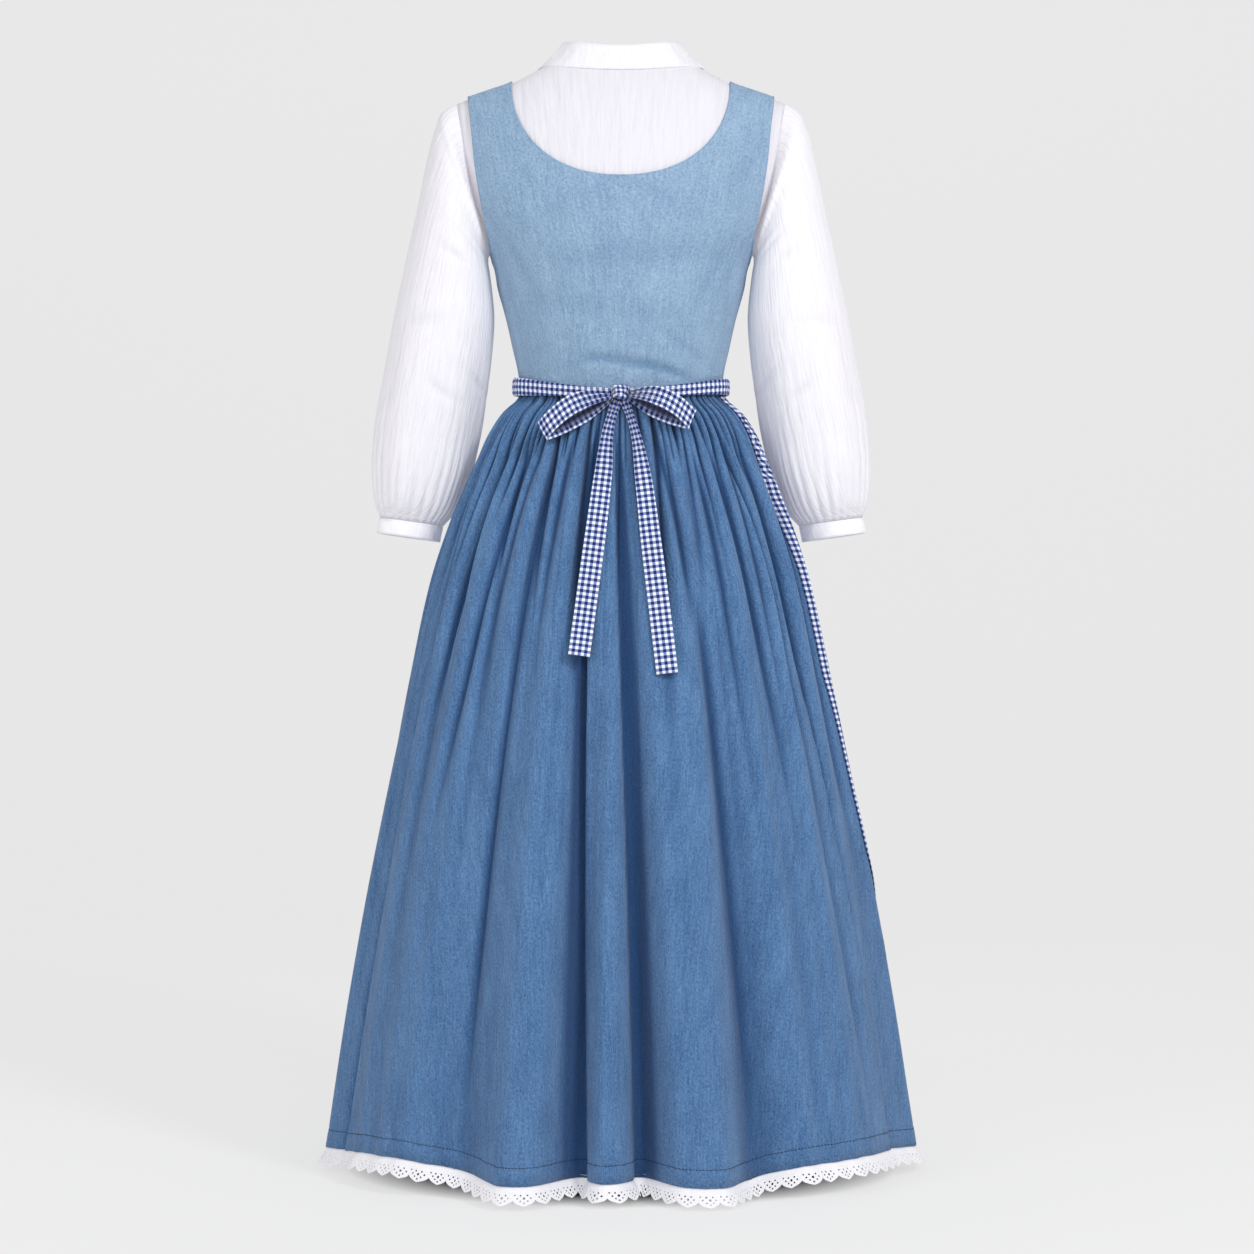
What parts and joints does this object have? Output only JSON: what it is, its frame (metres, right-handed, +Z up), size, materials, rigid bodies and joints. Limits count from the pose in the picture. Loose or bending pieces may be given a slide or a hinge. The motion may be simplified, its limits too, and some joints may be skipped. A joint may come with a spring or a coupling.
{
  "type": "dirndl dress with blouse and apron",
  "caption": "Long gathered dirndl with fitted scoop-necked bodice, full-sleeved band-collar blouse, checked apron tied in a bow behind, and lace-edged hem.",
  "frame": {"origin": "between the shoulder seams, on the plane of the side seams", "axes": "+Z up along the wearer's back, +X to the wearer's right, +Y the way the wearer faces, so the back that the picture shows faces -Y"},
  "size_m": [0.7591, 0.6521, 1.4452],
  "materials": {
    "skirt_chambray": "matte",
    "bodice_chambray": "matte",
    "blouse_cotton": "matte",
    "gingham": "matte",
    "eyelet_lace": "matte",
    "button": "satin"
  },
  "bodies": {
    "root": {"blouse_back": "blouse_cotton", "blouse_front_right": "blouse_cotton", "blouse_front_left": "blouse_cotton", "collar": "blouse_cotton", "sleeve_right": "blouse_cotton", "sleeve_left": "blouse_cotton", "cuff_right": "blouse_cotton", "cuff_left": "blouse_cotton", "bodice_back": "bodice_chambray", "bodice_front_right": "bodice_chambray", "bodice_front_left": "bodice_chambray", "skirt_back": "skirt_chambray", "skirt_front": "skirt_chambray", "hem_lace": "eyelet_lace", "apron": "gingham", "apron_waistband": "gingham", "tie_right": "gingham", "tie_left": "gingham", "bow_knot": "gingham", "bow_loop_right": "gingham", "bow_loop_left": "gingham", "tail_right": "gingham", "tail_left": "gingham", "bodice_button_1": "button", "bodice_button_2": "button", "bodice_button_3": "button", "bodice_button_4": "button", "bodice_button_5": "button", "bodice_button_6": "button", "blouse_button_1": "button", "blouse_button_2": "button", "blouse_button_3": "button"}
  },
  "joints": []
}
